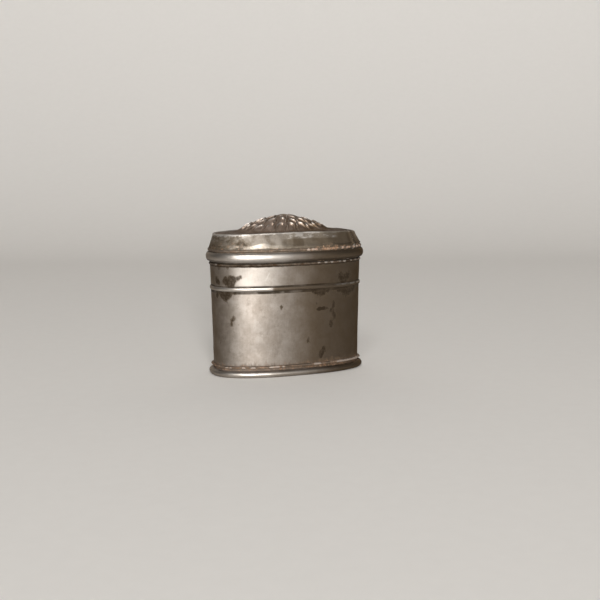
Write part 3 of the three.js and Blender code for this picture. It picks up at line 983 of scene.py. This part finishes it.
# %% Top of the lid
top = welded_copy("lid_top", "petal_top")
pick(top)
bpy.ops.object.mode_set(mode="EDIT")
bpy.ops.mesh.select_all(action="SELECT")
bpy.ops.mesh.subdivide(number_cuts=4, smoothness=0)
bpy.ops.object.mode_set(mode="OBJECT")

points = points_of(top)
arched = ARCH * climb_of(points) * (points[:, 0] / HALF_LENGTH) ** 2
points[:, 2] += arched
reach, turn = dome_place(points)
wobble = lumps(points * (1, 1, 0), 3.1, 41)
plain = DOME_FOOT + DOME_RISE * (1 - np.clip(reach, 0, 1) ** 1.5) ** 1.2
on_dome = reach < DOME_EDGE
outer_side = points[:, 2] > plain - TOP_SHEET / 2
relief, rims = petal_height(np.clip(reach, 0, 1), turn, wobble)
points[:, 2] = np.where(on_dome & outer_side, plain + relief, points[:, 2])
points[:, 2] = np.where(on_dome & ~outer_side, plain - TOP_SHEET + 0.5 * relief, points[:, 2])
border = (reach > DOME_EDGE) & (points[:, 2] > BORDER_LOW)
line_reach, line_width, line_depth = CHASED_LINE
points[:, 2] -= np.where(border, line_depth * np.exp(-(((reach - line_reach) / line_width) ** 2)), 0)
outwards = fade(reach, 1.0, 1.35)
points[:, 0] -= DOME_LEAN * (1 - outwards)
points[:, 2] -= arched
set_points(top, knock(points))
push_out(top, lambda places: shoulder_dents(places + (0, 0, 0.4)) * outwards)
smooth(top, 60)
rim_values = top.data.attributes.new("rim", "FLOAT", "POINT")
rim_values.data.foreach_set("value", np.where(on_dome & outer_side, rims, 0).astype(np.float32))
heights = points_of(top)[:, 2]
print("petal relief up to", round(float(relief.max()), 2), "mm, top at", round(float(heights.max()), 2))

top_finish = Finish("top_chased_silver")
low_parts = top_finish.node("ShaderNodeNewGeometry", output="Pointiness")
on_rim = top_finish.node("ShaderNodeAttribute", {"attribute_name": "rim"}, output="Fac")
hollow = top_finish.step(low_parts, 0.49, 0.44).most(top_finish.step(on_rim, 0.3, 0.0) * 0.3)
crest = top_finish.step(on_rim, 0.45, 0.85) * top_finish.step(top_finish.grain(1.6, 3, 133.0), 0.35, 0.6)
level = top_finish.height + top_finish.x * top_finish.x * (ARCH / HALF_LENGTH**2)
# The border and the dome's foot are darker: partly patina, partly painted shade of the recessed border.
foot_line = top_finish.band(48.9, 49.75, 0.25, level)
top_dirt_and_shade = (hollow * 0.9).most(foot_line * 0.7)
top_film_and_shade = top_finish.step(top_finish.grain(3, 4, 132.0), 0.35, 0.65) * 0.45 + 0.12
# The dome is darker towards its right end: partly film, partly painted shade.
top_film_and_shade = top_film_and_shade + top_finish.step(top_finish.x, -6, 8) * 0.6
top_crust = hollow * 0.15 + 0.1
top_material = silver(
    top_finish, top_dirt_and_shade, top_crust, top_film_and_shade, shine=0.4, mottle=0.6, wear_and_highlight=crest * 0.85, seed=130.0,
    metal=ROSY,
)
finish_piece(top, "lid", "lid_top", top_material)

# %% [markdown]
# The setting is a pale sheet that runs back along the floor and curves up behind, so no horizon shows. It
# is not part of the object. A plane's far edge is extruded upwards, and the fold is bevelled into a curve.

# %% Floor and backdrop
bpy.ops.object.select_all(action="DESELECT")
bpy.ops.mesh.primitive_plane_add(size=3, location=(0, -0.7, 0))
sweep = bpy.context.active_object
sweep.name = "pale_sweep"
bpy.ops.object.mode_set(mode="EDIT")
bpy.ops.mesh.select_all(action="DESELECT")
bpy.ops.object.mode_set(mode="OBJECT")
for edge in sweep.data.edges:
    ends = [sweep.data.vertices[number].co.y for number in edge.vertices]
    edge.select = min(ends) > 1.4
bpy.ops.object.mode_set(mode="EDIT")
bpy.ops.mesh.extrude_region_move(TRANSFORM_OT_translate={"value": (0, 0, 1.6)})
bpy.ops.object.mode_set(mode="OBJECT")
fold = sweep.modifiers.new("fold", "BEVEL")
fold.width = 0.5
fold.segments = 24
fold.limit_method = "ANGLE"
apply_last(sweep, fold)
smooth(sweep, 60)
sweep.rotation_euler = (0, 0, math.radians(CAMERA_TURN))

floor_finish = Finish("pale_paper")
fibre = floor_finish.grain(4, 3, 141.0)
paper = floor_finish.mix(fibre, (0.765, 0.735, 0.695, 1), (0.795, 0.765, 0.725, 1))
paper_shader = floor_finish.node(
    "ShaderNodeBsdfPrincipled", None, {"Base Color": paper, "Roughness": 0.85}
)
floor_finish.node("ShaderNodeOutputMaterial", None, {"Surface": paper_shader})
sweep.data.materials.append(floor_finish.material)

# %% [markdown]
# A tall soft lamp stands far behind the camera, almost in line with it, and gives the upright highlight
# on the rounded left of the box. A weaker lamp above it lights the lid. The world adds a low even light.
# The picture is shown with the Standard view, so a colour comes out about as it is written.

# %% Light
LIT_POINT = (0, 0, 0.03)


def soft_lamp(name, place, size, power):
    """An area lamp at a place, turned to the middle of the box, with its width and height in metres."""
    data = bpy.data.lights.new(name, "AREA")
    data.shape = "RECTANGLE"
    data.size, data.size_y = size
    data.energy = power
    lamp = bpy.data.objects.new(name, data)
    bpy.context.scene.collection.objects.link(lamp)
    lamp.location = place
    lamp.rotation_euler = (Vector(LIT_POINT) - Vector(place)).to_track_quat("-Z", "Y").to_euler()
    return lamp


soft_lamp("key_lamp", (-0.53, -1.82, 0.42), (0.42, 0.6), 36.0)
soft_lamp("top_lamp", (-0.46, -1.22, 1.0), (0.6, 0.5), 10.0)

world = bpy.data.worlds.new("soft_room")
world.use_nodes = True
bpy.context.scene.world = world
room = world.node_tree.nodes["Background"]
room.inputs["Color"].default_value = (1.0, 0.98, 0.95, 1)
room.inputs["Strength"].default_value = 0.14
bpy.context.scene.view_settings.view_transform = "Standard"
